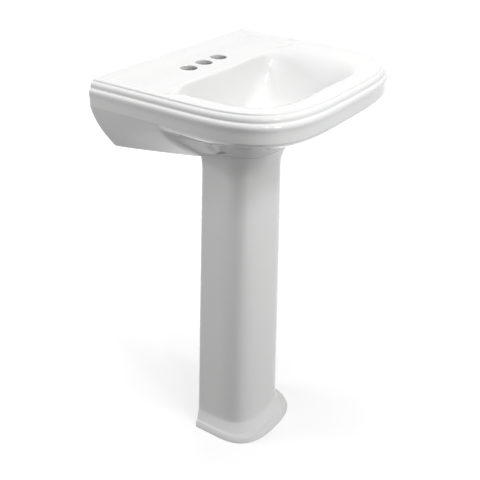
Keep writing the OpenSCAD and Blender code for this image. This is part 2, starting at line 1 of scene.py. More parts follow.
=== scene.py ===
# %% [markdown]
# # A china washbasin on a pedestal
#
# A bathroom washbasin of glazed china: a square back for the wall, a bowed front, two rolls round
# the rim, a sunk ledge with three tap holes, and a pedestal that is open at the back. First comes
# the basin, then the pedestal, the metal and rubber fittings, and last the light.
#
# Everything is in metres. The wall is the plane y = 0, the floor is z = 0, and the user stands
# at negative y.

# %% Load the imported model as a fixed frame
import json
import math
from functools import partialmethod

import bmesh
import bpy
import numpy as np
from mathutils import Matrix, Vector


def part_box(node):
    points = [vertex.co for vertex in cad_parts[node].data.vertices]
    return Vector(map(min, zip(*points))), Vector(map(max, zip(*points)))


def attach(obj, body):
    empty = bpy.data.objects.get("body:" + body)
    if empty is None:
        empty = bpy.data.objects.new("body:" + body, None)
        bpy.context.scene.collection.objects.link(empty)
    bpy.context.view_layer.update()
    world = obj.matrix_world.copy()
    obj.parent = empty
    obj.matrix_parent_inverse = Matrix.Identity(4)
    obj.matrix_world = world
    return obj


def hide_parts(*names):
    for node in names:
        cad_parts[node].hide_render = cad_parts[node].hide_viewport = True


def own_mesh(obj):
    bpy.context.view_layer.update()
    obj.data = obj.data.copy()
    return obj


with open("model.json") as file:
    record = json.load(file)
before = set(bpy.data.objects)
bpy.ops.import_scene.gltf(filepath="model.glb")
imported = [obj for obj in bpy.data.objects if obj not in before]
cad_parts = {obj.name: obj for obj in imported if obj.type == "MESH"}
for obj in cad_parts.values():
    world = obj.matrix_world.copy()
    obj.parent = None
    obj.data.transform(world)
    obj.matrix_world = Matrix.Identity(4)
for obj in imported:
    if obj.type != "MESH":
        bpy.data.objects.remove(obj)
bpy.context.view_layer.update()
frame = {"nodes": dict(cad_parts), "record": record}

# %% [markdown]
# ## The camera and the room
#
# The camera comes first, because a wrong lens looks like a wrong shape. The straight back edge,
# the three tap holes and the pedestal's sides fit one view only, with a lens of about 60 mm.

# %% Camera at the photograph's angle
VIEW_AZIMUTH, VIEW_ELEVATION, VIEW_ROLL = -56.33, 28.26, 1.5
VIEW_DISTANCE, VIEW_LENS = 1.79295, 60.63
VIEW_MIDDLE, SHIFT_SIDE, SHIFT_UP = Vector((0, -0.2, 0.43)), -0.02145, 0.04414


def direction(azimuth, elevation):
    """From the object to a place round it, in degrees. Azimuth 0 is straight in front."""
    a, e = math.radians(azimuth), math.radians(elevation)
    return Vector((math.sin(a) * math.cos(e), -math.cos(a) * math.cos(e), math.sin(e)))


def linked(name, data):
    """A new object in the scene."""
    thing = bpy.data.objects.new(name, data)
    bpy.context.scene.collection.objects.link(thing)
    return thing


# It looks at the basin from that angle, rolled a little as a hand-held one would be
back, roll = direction(VIEW_AZIMUTH, VIEW_ELEVATION), math.radians(VIEW_ROLL)
side = (-back).cross(Vector((0, 0, 1))).normalized()
above = side.cross(-back)
place = VIEW_MIDDLE + side * SHIFT_SIDE + above * SHIFT_UP + back * VIEW_DISTANCE
x = math.cos(roll) * side + math.sin(roll) * above
y = -math.sin(roll) * side + math.cos(roll) * above
camera = linked("camera", bpy.data.cameras.new("camera"))
camera.data.lens = VIEW_LENS
camera.matrix_world = Matrix.Translation(place) @ Matrix((x, y, back)).transposed().to_4x4()
bpy.context.scene.camera = camera
print("camera at", [round(v, 3) for v in camera.matrix_world.translation])

# %% [markdown]
# ## Materials
#
# Each material is a small tree of nodes that reads Object coordinates, so the pattern stays on
# the piece whatever its mesh is. Glazed china is white under a clear coat. Its roughness and its
# surface vary a little over a few centimetres, because the glaze flows before it sets, and that
# breaks up a reflection. At the very foot the glaze is wiped off so that the piece doesn't stick
# in the kiln, and the bare clay there is warmer.

# %% Helpers that make nodes


def fill(tree, node, sockets):
    """Links or sets sockets of a node, from pairs of a socket and what goes in."""
    for socket, item in sockets:
        item = getattr(item, "value", item)
        if isinstance(item, bpy.types.NodeSocket):
            tree.links.new(item, node.inputs[socket])
        else:
            node.inputs[socket].default_value = item


def node_of(tree, kind, sockets=(), **values):
    """A new node with some of its sockets filled and some of its properties set."""
    node = tree.nodes.new(kind)
    for key, value in values.items():
        setattr(node, key, value)
    fill(tree, node, sockets)
    return node


def between(tree, share, low, high, first=0.0, last=1.0):
    """A number that is low where share is first, high where it is last, and even between."""
    return node_of(tree, "ShaderNodeMapRange", [
        ("Value", share), ("From Min", first), ("From Max", last), ("To Min", low),
        ("To Max", high)]).outputs[0]


def colour_between(tree, share, first, second):
    return node_of(tree, "ShaderNodeMix", [(0, share), (6, first), (7, second)],
                   data_type="RGBA").outputs[2]


# %% Helpers for patterns
NOISE_LOW, NOISE_HIGH = 0.35, 0.65  # Nearly all of the noise lies between these


def new_material(name):
    """A material's tree with its shader, and the Object coordinates that patterns read."""
    mat = bpy.data.materials.new(name)
    mat.use_nodes = True
    tree = mat.node_tree
    tree.nodes.clear()
    shader = node_of(tree, "ShaderNodeBsdfPrincipled")
    node_of(tree, "ShaderNodeOutputMaterial", [("Surface", shader.outputs[0])])
    place = node_of(tree, "ShaderNodeTexCoord").outputs["Object"]
    return mat, tree, shader, place


def noise(tree, place, scale, detail=2.0, stretch=None):
    """Soft noise at a scale in waves per metre, drawn out along an axis by stretch."""
    if stretch:
        place = node_of(tree, "ShaderNodeMapping", [(0, place), ("Scale", stretch)]).outputs[0]
    return node_of(tree, "ShaderNodeTexNoise", [
        ("Scale", scale), ("Detail", detail), ("Vector", place)]).outputs[0]


def ramp(tree, value, low, high):
    """Turns noise into a number or a colour between two ends."""
    if isinstance(low, tuple):
        share = between(tree, value, 0.0, 1.0, NOISE_LOW, NOISE_HIGH)
        return colour_between(tree, share, (*low, 1), (*high, 1))
    return between(tree, value, low, high, NOISE_LOW, NOISE_HIGH)


def bump(tree, shader, value, depth):
    """Shades the surface as if value were its height, up to a depth in metres."""
    node = node_of(tree, "ShaderNodeBump", [("Distance", depth), ("Height", value)])
    tree.links.new(node.outputs[0], shader.inputs["Normal"])


# %% The finishes: china, chrome, brass, zinc-plated steel, rubber and nylon
COOL_WHITE, WARM_WHITE = (0.800, 0.803, 0.800), (0.812, 0.812, 0.806)
BARE_CLAY, CLAY_TO, GLAZE_FROM = (0.66, 0.62, 0.55, 1), 0.0004, 0.0015


def make_china():
    mat, tree, shader, place = new_material("glazed_china")
    white = ramp(tree, noise(tree, place, 9), COOL_WHITE, WARM_WHITE)
    split = node_of(tree, "ShaderNodeSeparateXYZ", [(0, place)])
    foot = between(tree, split.outputs[2], 0.0, 1.0, GLAZE_FROM, CLAY_TO)
    fill(tree, shader, [
        ("Base Color", colour_between(tree, foot, white, BARE_CLAY)),
        ("Roughness", ramp(tree, noise(tree, place, 24), 0.07, 0.12)), ("Coat Weight", 0.35),
        ("Coat Roughness", 0.04), ("Subsurface Weight", 0.04), ("Subsurface Scale", 1.0),
        ("Subsurface Radius", (0.004, 0.0035, 0.003))])
    bump(tree, shader, noise(tree, place, 32, 1.0), 0.00035)
    return mat


def make_finish(name, light, dark, rough, grain, depth, scratch=None):
    """A metal, scratched along the way it was made, or without scratch rubber or plastic."""
    mat, tree, shader, place = new_material(name)
    fine = noise(tree, place, grain, 3.0 if scratch else 4.0, scratch)
    colour, gloss = (noise(tree, place, 25), fine) if scratch else (fine, noise(tree, place, 90))
    fill(tree, shader, [
        ("Base Color", ramp(tree, colour, dark, light)), ("Roughness", ramp(tree, gloss, *rough)),
        ("Metallic", 1.0 if scratch else 0.0)])
    bump(tree, shader, fine, depth)
    return mat


FINISHES = {
    "china": make_china(),
    "chrome": make_finish("polished_chrome", (0.80, 0.81, 0.83), (0.72, 0.73, 0.76),
                          (0.05, 0.12), 60, 0.00003, (1, 1, 0.3)),
    "brass": make_finish("turned_brass", (0.78, 0.60, 0.30), (0.66, 0.49, 0.22),
                         (0.22, 0.38), 120, 0.00006, (0.4, 0.4, 8)),
    "steel": make_finish("zinc_plated_steel", (0.66, 0.68, 0.70), (0.50, 0.52, 0.55),
                         (0.30, 0.48), 180, 0.00005, (1, 1, 1)),
    "rubber": make_finish("black_rubber", (0.035, 0.035, 0.036), (0.018, 0.018, 0.018),
                          (0.55, 0.75), 420, 0.00008),
    "nylon": make_finish("natural_nylon", (0.78, 0.77, 0.71), (0.70, 0.69, 0.63),
                         (0.38, 0.5), 300, 0.00004)}
print("materials:", [material.name for material in FINISHES.values()])

# %% [markdown]
# ## The basin's measurements
#
# Every level of the basin, seen from above, has a straight back, two straight sides and a bowed
# front. The front is a superellipse, a curve between an ellipse and a rectangle with one number
# for its squareness. A list of such outlines, from the neck up over the rim and down into the
# bowl, is joined into one skin. A subdivision surface drawn by hand would do too, but then the
# rolls of the rim would have to be evened out by eye all the way round.

# %% Outlines of the basin
RIM_Z, DECK_Z, APRON_Z, BELLY_Z, NECK_Z, BOX_Z = 0.864, 0.854, 0.814, 0.726, 0.708, 0.714
DECK_HALF, DECK_FRONT, SIDE_TURN, FRONT_SQUARE = 0.249, 0.407, 0.172, 3.7
NECK_HALF, NECK_REAR, NECK_FRONT, NECK_TURN, NECK_SQUARE = 0.091, 0.127, 0.26506, 0.179, 2.67
DRAIN_Y, DRAIN_Z, CHINA, CORNER_R = 0.200, 0.726, 0.011, 0.003
APRON_OUT, LOWER_OUT = 0.0115, 0.012894  # How far apron and rolls stand out from the deck
STEP = 1
BACK_N, CORNER_N, SIDE_N, FRONT_N, BOW_N = 48 // STEP, 8, 32 // STEP, 144 // STEP, 1201


def mix(a, b, t):
    return a + (b - a) * t


def ease(t):
    """A soft step from 0 to 1."""
    c = np.clip(t, 0, 1)
    return c * c * (3 - 2 * c)


def resampled(points, count):
    """Points spread evenly along a polyline, without its last one."""
    points = np.asarray(points, float)
    length = np.concatenate([[0], np.cumsum(np.linalg.norm(np.diff(points, axis=0), axis=1))])
    at = np.linspace(0, length[-1], count + 1)[:-1]
    return np.stack([np.interp(at, length, points[:, k]) for k in range(points.shape[1])], 1)


def outline_from(pieces):
    """Six runs of an outline, from its back round by the left, joined into a ring.

    Each has a fixed number of points, which keeps corners over corners from level to level.
    """
    counts = (BACK_N, CORNER_N, SIDE_N, FRONT_N, SIDE_N, CORNER_N)
    return np.concatenate([resampled(run, n) for run, n in zip(pieces, counts)])


def bowed(half, rear, front, turn, square):
    """An outline seen from above, in x and y, from the right end of its back round by the left."""
    a = np.linspace(0, math.pi, BOW_N)
    bow = np.stack([-half * np.sign(np.cos(a)) * np.abs(np.cos(a)) ** (2 / square),
                    -turn - (front - turn) * np.sin(a) ** (2 / square)], 1)
    inner, q = half - CORNER_R, np.linspace(0, math.pi / 2, 9)
    left = np.stack([-inner - CORNER_R * np.sin(q), -rear - CORNER_R * (1 - np.cos(q))], 1)
    right = (left * (-1, 1))[::-1]
    return outline_from([
        [(inner, -rear), (-inner, -rear)], left, [left[-1], (-half, -turn)], bow,
        [(half, -turn), right[0]], right])


def with_height(ring, z):
    return np.column_stack([ring, np.full(len(ring), z)])


def rim_ring(offset, z):
    """The deck's edge moved outwards by offset, at height z."""
    return with_height(
        bowed(DECK_HALF + offset, 0.0, DECK_FRONT + offset, SIDE_TURN, FRONT_SQUARE), z)


print("points round the rim:", len(rim_ring(0, RIM_Z)))

# %% [markdown]
# ## The outside of the basin, from the neck to the rim
#
# Two forms meet under the rim: a belly that swells from the pedestal's neck out to the apron,
# and a box at the back that hides the pipes. In clay they run into each other, where cutting two
# solids together would leave a hard line. So each level is taken from a point inside both, as a
# distance in each direction, and the larger one is used, with a soft change between them.

# %% Outlines of the belly and of the box
BELLY_FULL, BELLY_STEEP = 0.86, 0.72
BOX_HALF, BOX_BACK, BOX_FRONT, CORNER_RUN = 0.197, 0.001, 0.184, 0.028
BOX_OVER, BOX_SWELL, INSIDE_APRON = 0.012, 1.55, 0.0005
BOX_DRAW, BOX_DEPTH, DRAW_FORWARD, DRAW_DOWN = 0.060, 0.176, 1.15, 1.6


def belly_rise(s):
    """Height of the belly, 0 to 1, where it has gone the share s of its way out."""
    return 1 - (1 - s ** BELLY_FULL) ** BELLY_STEEP


def belly_outline(s, inset=0.0):
    """Outline between the neck's, where s is 0, and the apron's, where it is 1."""
    return bowed(mix(NECK_HALF, DECK_HALF + APRON_OUT, s) - inset, mix(NECK_REAR, 0.0, s) + inset,
                 mix(NECK_FRONT, DECK_FRONT + APRON_OUT, s) - inset, mix(NECK_TURN, SIDE_TURN, s),
                 mix(NECK_SQUARE, FRONT_SQUARE, s))


def box_half(y, z):
    """Half width of the rear box at height z and distance y from the wall."""
    v = np.clip((z - BOX_Z) / (APRON_Z + BOX_OVER - BOX_Z), 0, 1)
    at_wall = mix(BOX_HALF, DECK_HALF + LOWER_OUT, 1 - (1 - v) ** BOX_SWELL)
    drawn = BOX_DRAW * (y / BOX_DEPTH) ** DRAW_FORWARD * (1 - v) ** DRAW_DOWN
    return np.minimum(at_wall - drawn, DECK_HALF + APRON_OUT - INSIDE_APRON)


def box_outline(z, inset=0.0):
    """Sides that draw in towards the front, with a wide round where side and front meet."""
    front = BOX_FRONT - inset
    y = np.linspace(BOX_BACK + inset, front - CORNER_RUN, 48)
    side = np.stack([-(box_half(y, z) - inset), -y], 1)
    corner = np.array([-(box_half(front, z) - inset), -front])
    end, t = corner + (CORNER_RUN, 0), np.linspace(0, 1, 16)[1:, None]
    turn = (1 - t) ** 2 * side[-1] + 2 * t * (1 - t) * corner + t ** 2 * end
    left = np.concatenate([side, turn])
    return np.concatenate([left, (left * (-1, 1))[::-1]])


print("box outline:", len(box_outline(BOX_Z)), "points")

# %% Belly and box melted together
CENTRE = np.array([0.0, -0.150])
ANGLES = np.linspace(0, 2 * math.pi, 2880, endpoint=False)
STEPS = np.linspace(0, 1, 400)
COLLAR_SLOPE, COLLAR_FLARE, COLLAR_H, COLLAR_END = 3.3, 0.004, 0.018, 0.3
MELT_W, MELT_LEAST = 0.030, 0.0015
TO_CORNER, TURN_LEFT, TURN_RIGHT = 1.2, math.radians(187), math.radians(353)


def distances(ring):
    """How far the outline is from the centre, in each of the angles."""
    way = ring - CENTRE
    after = np.roll(way, -1, axis=0)
    dense = np.concatenate([mix(way, after, t) for t in np.linspace(0, 1, 24, endpoint=False)])
    angle = np.arctan2(dense[:, 1], dense[:, 0]) % (2 * math.pi)
    order = np.argsort(angle)
    return np.interp(ANGLES, angle[order], np.hypot(*dense.T)[order], period=2 * math.pi)


def outside_level(z, shrink=0.0, box_shrink=0.0):
    """Outline of the belly and the box together at height z, drawn in at an edge's round."""
    height = np.clip((z - BELLY_Z) / (APRON_Z - BELLY_Z), 0, 1)
    s = np.interp(height, belly_rise(STEPS), STEPS)
    # The collar over the joint goes on with the pedestal's flare until it meets the belly
    above = max(z - NECK_Z, 0.0)
    if s < COLLAR_END:
        s = max(s, COLLAR_SLOPE * above + COLLAR_FLARE * (above / COLLAR_H) ** 2)
    reach = belly = distances(belly_outline(s))
    if z >= BOX_Z:
        box = distances(box_outline(z))
        soft = max(MELT_W * (1 - s), MELT_LEAST)
        share = np.clip(0.5 + 0.5 * (belly - box) / soft, 0, 1)
        reach = mix(box, belly, share) + soft * share * (1 - share)
        reach = np.minimum(reach, distances(belly_outline(1.0))) - box_shrink * (1 - share)
    reach = reach - shrink
    edge = CENTRE + np.stack([np.cos(ANGLES), np.sin(ANGLES)], 1) * reach[:, None]
    # The rear corners are where the outline is furthest out, sideways and back together
    right, left = (int(np.argmax(way * edge[:, 0] + TO_CORNER * edge[:, 1])) for way in (1, -1))
    turns = [int(np.argmin(np.abs(ANGLES - turn))) for turn in (TURN_LEFT, TURN_RIGHT)]
    size, n = int(round(CORNER_R / reach.mean() / ANGLES[1])) + 1, len(edge)
    ends = [right + size, left - size, left + size, *turns, n + right - size, n + right + size]
    around = np.concatenate([edge, edge, edge])
    return outline_from([around[a:b + 1] for a, b in zip(ends, ends[1:])])


print("level at mid height:", len(outside_level(mix(BELLY_Z, APRON_Z, 0.5))), "points")

# %% The two rolls, and all levels of the outside


def corners_cut(points):
    """A smoother line: twice, each corner is cut at a quarter of its sides. The ends stay."""
    line = np.array(points, float)
    for _ in range(2):
        cuts = np.stack([mix(line[:-1], line[1:], 0.25), mix(line[:-1], line[1:], 0.75)], 1)
        line = np.concatenate([line[:1], cuts.reshape(-1, 2), line[-1:]])
    return line


# Section of the two rolls, upwards from the apron: how far out from the deck's edge, and height
ROLLS = [(0.0115, 0.830), (0.0117, 0.833), (0.0122, 0.8356), (0.0129, 0.8383), (0.0131, 0.841),
         (0.0124, 0.8438), (0.0110, 0.8461), (0.0092, 0.8476), (0.0078, 0.8485),
         (0.0070, 0.8497), (0.0070, 0.8516), (0.0066, 0.854), (0.0055, 0.8564),
         (0.0038, 0.8583), (0.0020, 0.8594), (0.0006, 0.8601), (0.0001, 0.861)]
APRON_HEIGHTS, EDGE_R = (0.817, 0.821, 0.8255), 0.003
rolls = corners_cut(ROLLS)
rolls[:, 0] *= LOWER_OUT / rolls[:, 0].max()
rim_section = [(APRON_OUT, z) for z in APRON_HEIGHTS] + [tuple(p) for p in rolls]
rim_section += [(EDGE_R * (math.cos(t) - 1), RIM_Z + EDGE_R * (math.sin(t) - 1))
                for t in np.radians(np.linspace(12, 90, 7))]

# The neck's edge and the box's bottom edge: height of the outline, how far it is drawn in
# all round, how far the box alone is drawn in, and how far the points are raised
SOFT_EDGES = [(NECK_Z, 0.0008, 0, 0), (NECK_Z, 0.0003, 0, 0.0002), (NECK_Z, 0, 0, 0.0008),
              (0.711, 0, 0, 0), (0.7135, 0, 0, 0), (BOX_Z, 0, 0.0025, 0),
              (BOX_Z, 0, 0.001, 0.0006)]
BOX_SIDE = np.linspace(BOX_Z + 0.0025, BELLY_Z - 0.001, 4)
BELLY_STEPS = np.linspace(0.004, 1, 34 // STEP) ** 1.25
lower_levels = [with_height(outside_level(z, all_in, box_in), z + up)
                for z, all_in, box_in, up in SOFT_EDGES]
lower_levels += [with_height(outside_level(z), z) for z in np.concatenate([
    BOX_SIDE, mix(BELLY_Z, APRON_Z, belly_rise(BELLY_STEPS))])]
rim_levels = [rim_ring(out, z) for out, z in rim_section]
print("levels below the rim:", len(lower_levels), "levels of the rim:", len(rim_levels))

# %% [markdown]
# ## The top: border, sunk ledge and bowl
#
# The top is one surface. From each point of the rim's flat border a line runs towards the drain:
# down into the ledge, over the bowl's edge, down its wall and along its floor. The wall is steep
# at the back under the taps and gentler elsewhere, and the edge is rolled tightly at the back and
# widely elsewhere. The levels are then evened out, as a sponge does on the clay: first where
# ledge and bowl meet, then round the corners of the bowl.

# %% Sections of the ledge and the bowl
BORDER, DISH, DISH_W, LEDGE_FALL = 0.013, 0.010, 0.022, 0.003
BOWL_HALF, BOWL_REAR, BOWL_FRONT, REAR_SQUARE, FRONT_BOW = 0.228, 0.121, 0.388, 5.0, 4.0
REAR_EDGE_R, FRONT_EDGE_R, SEAT_R, SEAT_RUN, SEAT_DROP = 0.008, 0.064, 0.031, 0.004, 0.003
SIDE_STEEP, FRONT_STEEP, REAR_STEEP, FLOOR_SLOPE = 50, 56, 78, math.radians(4)
REAR_FROM, REAR_OVER, FRONT_FROM, FRONT_OVER = 0.15, 0.6, 0.1, 0.8
LEDGE_STEPS, LEDGE_SPREAD, SEAT_RINGS = 14, 1.1, (0.026, 0.018, 0.008)


def ledge_z(x, y):
    """Height of the ledge at x and the distance y from the wall."""
    dish = (ease((y - BORDER) / DISH_W) * ease((DECK_HALF - BORDER - abs(x)) / DISH_W)
            * (1 - ease((y - BOWL_REAR + 0.002) / 0.066)))
    fall = ease((y - 0.080) / 0.040) * (1 - ease((y - BOWL_REAR - 0.010) / 0.05))
    return RIM_Z - DISH * dish - LEDGE_FALL * fall


def mouth(dx, dy):
    """Distance from the drain to the bowl's edge in a direction, and dy's share in that edge."""
    if dy > 0:
        half, square = DRAIN_Y - BOWL_REAR, REAR_SQUARE
    else:
        half, square = BOWL_FRONT - DRAIN_Y, FRONT_BOW
    r = ((abs(dx) / BOWL_HALF) ** square + (abs(dy) / half) ** square) ** (-1 / square)
    return r, (abs(r * dy) / half) ** square


def bowl_section(rear, front, run, drop, fine=1):
    """Inward run, drop and slope down the bowl: edge roll, wall, floor curve and drain seat."""
    r1, flat = mix(FRONT_EDGE_R, REAR_EDGE_R, rear), FLOOR_SLOPE
    fall, reach = drop - SEAT_DROP, run - SEAT_RUN
    steep = math.radians(mix(mix(SIDE_STEEP, FRONT_STEEP, front), REAR_STEEP, rear))
    t = min(steep, 2 * math.atan2(fall, reach) - flat)
    run1, drop1 = r1 * math.sin(t), r1 * (1 - math.cos(t))
    r2 = ((reach - run1 - (fall - drop1) / math.tan(t))
          / (math.sin(t) - math.sin(flat) - (math.cos(flat) - math.cos(t)) / math.tan(t)))
    wall = (fall - drop1 - r2 * (math.cos(flat) - math.cos(t))) / math.sin(t)
    x2, z2 = run1 + wall * math.cos(t), drop1 + wall * math.sin(t)
    section = [(r1 * math.sin(b), r1 * (1 - math.cos(b)), b)
               for b in np.linspace(0, t, 5 * fine)]
    section += [(mix(run1, x2, k), mix(drop1, z2, k), t)
                for k in np.linspace(0, 1, 3 * fine + 1)[1:-1]]
    section += [(x2 + r2 * (math.sin(t) - math.sin(b)), z2 + r2 * (math.cos(b) - math.cos(t)), b)
                for b in np.linspace(t, flat, 5 * fine)]
    return section + [(mix(reach, run, 0.6), mix(fall, drop, 0.75), flat), (run, drop, 0.0)]


print("bowl's depth under the ledge:", round(ledge_z(0, BOWL_REAR) - DRAIN_Z, 4))

# %% Lines from the border to the drain, and their levels


def line_to_drain(p, grow=0.0, fine=3):
    """The line of points that runs from a point of the border down to the drain's seat."""
    away = np.array([p[0], p[1] + DRAIN_Y])
    d = away / np.linalg.norm(away)
    r, share = mouth(*d)
    top = ledge_z(r * d[0], DRAIN_Y - r * d[1])
    rear = ease((share - REAR_FROM) / REAR_OVER) if d[1] > 0 else 0.0
    front = ease((share - FRONT_FROM) / FRONT_OVER) if d[1] < 0 else 0.0
    edge = r * d - (0, DRAIN_Y)
    ledge = [mix(p[:2], edge, (k / (LEDGE_STEPS + 1)) ** LEDGE_SPREAD)
             for k in range(1, LEDGE_STEPS + 1)]
    ledge = [(x, y, ledge_z(x, -y)) for x, y in ledge]
    bowl = []
    for run, drop, slope in bowl_section(rear, front, r - SEAT_R, top - DRAIN_Z, fine):
        q = r - run + grow * math.sin(slope)
        bowl.append((d[0] * q, d[1] * q - DRAIN_Y, top - drop - grow * math.cos(slope)))
    return np.array(ledge), np.array(bowl)


def sponged(levels, times, first, last, down=0.5):
    """Evens out the levels from first to last, round them and, by the share down, across them."""
    grid = np.array(levels)
    weight = np.zeros(len(grid))
    weight[first:last] = 1
    weight = np.convolve(weight, np.ones(5) / 5, "same")[:, None, None] * 0.5
    for _ in range(times):
        around = (np.roll(grid, 1, axis=1) + np.roll(grid, -1, axis=1)) / 2
        across = grid.copy()
        across[1:-1] = (grid[:-2] + grid[2:]) / 2
        grid = grid + weight * (mix(around, across, down) - grid)
    return list(grid)


border_ring = rim_ring(-BORDER, RIM_Z)
lines = [line_to_drain(p) for p in border_ring]
top_levels = [rim_ring(-inside, RIM_Z) for inside in (0.006, 0.0095)] + [border_ring]
top_levels += list(np.array([np.concatenate(line) for line in lines]).transpose(1, 0, 2))
top_levels = sponged(top_levels, times=8, first=4, last=40)
top_levels = sponged(top_levels, times=60, first=22, last=54, down=0.0)
for r in SEAT_RINGS:
    ring = top_levels[-1].copy()
    way = ring[:, :2] + (0, DRAIN_Y)
    ring[:, :2] = way / np.linalg.norm(way, axis=1)[:, None] * r - (0, DRAIN_Y)
    top_levels.append(ring)
print("levels of the top:", len(top_levels))

# %% Closed skins from levels


def mended(mesh, reach=2e-6):
    """Merges double points, drops empty faces, turns the rest outwards, counts open edges."""
    bm = bmesh.new()
    bm.from_mesh(mesh)
    bmesh.ops.remove_doubles(bm, verts=bm.verts, dist=reach)
    bmesh.ops.dissolve_degenerate(bm, edges=bm.edges, dist=1e-7)
    bmesh.ops.recalc_face_normals(bm, faces=bm.faces)
    open_edges = sum(1 for e in bm.edges if len(e.link_faces) != 2)
    bm.to_mesh(mesh)
    bm.free()
    return open_edges


def piece_from(name, verts, faces):
    mesh = bpy.data.meshes.new(name)
    mesh.from_pydata(verts, [], faces)
    mended(mesh)
    return linked(name, mesh)


def quads(rows, n, closed=False):
    """Faces between rows of n points, and where closed from the last row to the first."""
    return [(j * n + i, j * n + (i + 1) % n, (j + 1) % rows * n + (i + 1) % n,
             (j + 1) % rows * n + i) for j in range(rows if closed else rows - 1)
            for i in range(n)]


def skin(name, levels):
    """Closed mesh through levels that have the same number of points, lowest first outside."""
    count, n = len(levels), len(levels[0])
    verts = [tuple(p) for ring in levels for p in ring]
    verts += [tuple(levels[0].mean(0)), tuple(levels[-1].mean(0))]
    last = (count - 1) * n
    ends = [(count * n, (i + 1) % n, i) for i in range(n)]
    ends += [(count * n + 1, last + i, last + (i + 1) % n) for i in range(n)]
    return piece_from(name, verts, quads(count, n) + ends)


basin = skin("basin_china", lower_levels + rim_levels + top_levels)
print("basin skin:", len(basin.data.vertices), "points")

# %% Helpers that cut, turn and finish pieces


def baked(piece):
    """Replaces a piece's mesh by what its modifiers make of it, and takes them off."""
    depsgraph = bpy.context.evaluated_depsgraph_get()
    mesh = bpy.data.meshes.new_from_object(piece.evaluated_get(depsgraph))
    piece.modifiers.clear()
    piece.data = mesh
    mesh.name = piece.name
    return piece


def cut(piece, other, how="DIFFERENCE"):
    """Takes other away from piece, or joins it to it, and throws other away."""
    mod = piece.modifiers.new(how.lower(), "BOOLEAN")
    mod.operation, mod.object, mod.solver = how, other, "EXACT"
    baked(piece)
    bpy.data.objects.remove(other)


def lathe(name, profile, place=(0, 0, 0), turns=96, axis="Z"):
    """Turned piece: a closed profile of (radius, height) spun round an axis through place.

    An axis along Y has its heights towards the room, so a height of 0.01 is at y = -0.01.
    """
    verts = []
    for i in range(turns):
        a = 2 * math.pi * i / turns
        for r, h in profile:
            x, y = r * math.cos(a), r * math.sin(a)
            p = (x, -h, y) if axis == "Y" else (x, y, h)
            verts.append(tuple(c + o for c, o in zip(p, place)))
    return piece_from(name, verts, quads(turns, len(profile), closed=True))


def finish_piece(piece, finish, angle=40):
    """Smooth shading with crisp edges only where faces meet at more than the angle."""
    piece.data.materials.clear()
    piece.data.materials.append(FINISHES[finish])
    piece.data.polygons.foreach_set("use_smooth", [True] * len(piece.data.polygons))
    piece.data.set_sharp_from_angle(angle=math.radians(angle))
    piece.data.update()
    print(piece.name, "triangles:", sum(len(p.vertices) - 2 for p in piece.data.polygons))

# %% [markdown]
# ## The hollow under the basin, and the holes
#
# Seen from below, the basin is a shell about 11 mm thick. The hollow is made as a solid of its
# own, the size of the space under the bowl, and then taken away. The outlet keeps a thick boss
# for the waste's nut. A real tap hole has its glaze drawn over a rounded lip, so the cutters are
# turned pieces that open out at both ends.

# %% The hollow and the outlet boss
COARSE, PAST, ON_AXIS = STEP + 1, 0.002, 0.0001
HOLLOW_TOP, HOLLOW_START, BOX_HOLLOW_TOP, PAD_TOP = 0.843, 0.3, APRON_Z + 0.006, 0.732
BOSS_R, BOSS_Z, BOSS_TOP, ROOM_LOW, ROOM_HIGH = 0.035, 0.686, 0.722, 0.68, 0.74
drain = (0, -DRAIN_Y, 0)


def hollow_level(s):
    """The belly's outline drawn in by its wall, which is a little thinner near the neck."""
    z = mix(BELLY_Z, APRON_Z, belly_rise(s)) + CHINA * mix(0.9, 0.3, s)
    return with_height(belly_outline(s, CHINA * mix(0.7, 1, s)), z)[::COARSE]


def box_level(z, at):
    return with_height(box_outline(z, CHINA), at)


hollow = skin("hollow", [hollow_level(s) for s in np.linspace(HOLLOW_START, 1, 8)]
              + [rim_ring(APRON_OUT - CHINA, HOLLOW_TOP)[::COARSE]])
cut(hollow, skin("box_hollow", [
    box_level(BOX_Z, BOX_Z - PAST), *(box_level(z, z) for z in np.linspace(
        BOX_Z, BOX_HOLLOW_TOP, 8)), box_level(BOX_HOLLOW_TOP, HOLLOW_TOP - 0.0005)]), "UNION")
# The bowl's space, grown by the thickness of the china
border = rim_ring(-BORDER, RIM_Z)[::COARSE]
grown = np.array([line_to_drain(p, CHINA, 1)[1] for p in border]).transpose(1, 0, 2)
lid = grown[0].copy()
lid[:, 2] = RIM_Z + PAST
cut(hollow, skin("grown_bowl", [*grown[::-1], lid]))
pad = bowed(NECK_HALF - 0.0005, NECK_REAR, NECK_FRONT - 0.0005, NECK_TURN, NECK_SQUARE)
cut(hollow, skin("neck_pad", [with_height(pad, NECK_Z - PAST), with_height(pad, PAD_TOP)]))
cut(hollow, lathe("boss_room", [(ON_AXIS, ROOM_LOW), (BOSS_R, ROOM_LOW), (BOSS_R, ROOM_HIGH),
                                (ON_AXIS, ROOM_HIGH)], drain))
boss = [(ON_AXIS, BOSS_Z), (BOSS_R - 0.002, BOSS_Z), (BOSS_R - 0.0006, BOSS_Z + 0.0006),
        (BOSS_R, BOSS_Z + 0.002), (BOSS_R, BOSS_TOP), (ON_AXIS, BOSS_TOP)]
cut(basin, lathe("boss", boss, drain), "UNION")
cut(basin, hollow)
print("hollowed basin:", len(basin.data.vertices), "points")

# %% Tap holes, drain and stud holes
HOLE_R, DRAIN_LIP, TAP_R, TAP_LIP, TAP_Y, TAP_PITCH = 0.0225, 0.001, 0.0175, 0.0024, 0.074, 0.0508
STUD_X, STUD_Z, STUD_HOLE_R, STUD_LIP = 0.140, 0.786, 0.0079, 0.0004


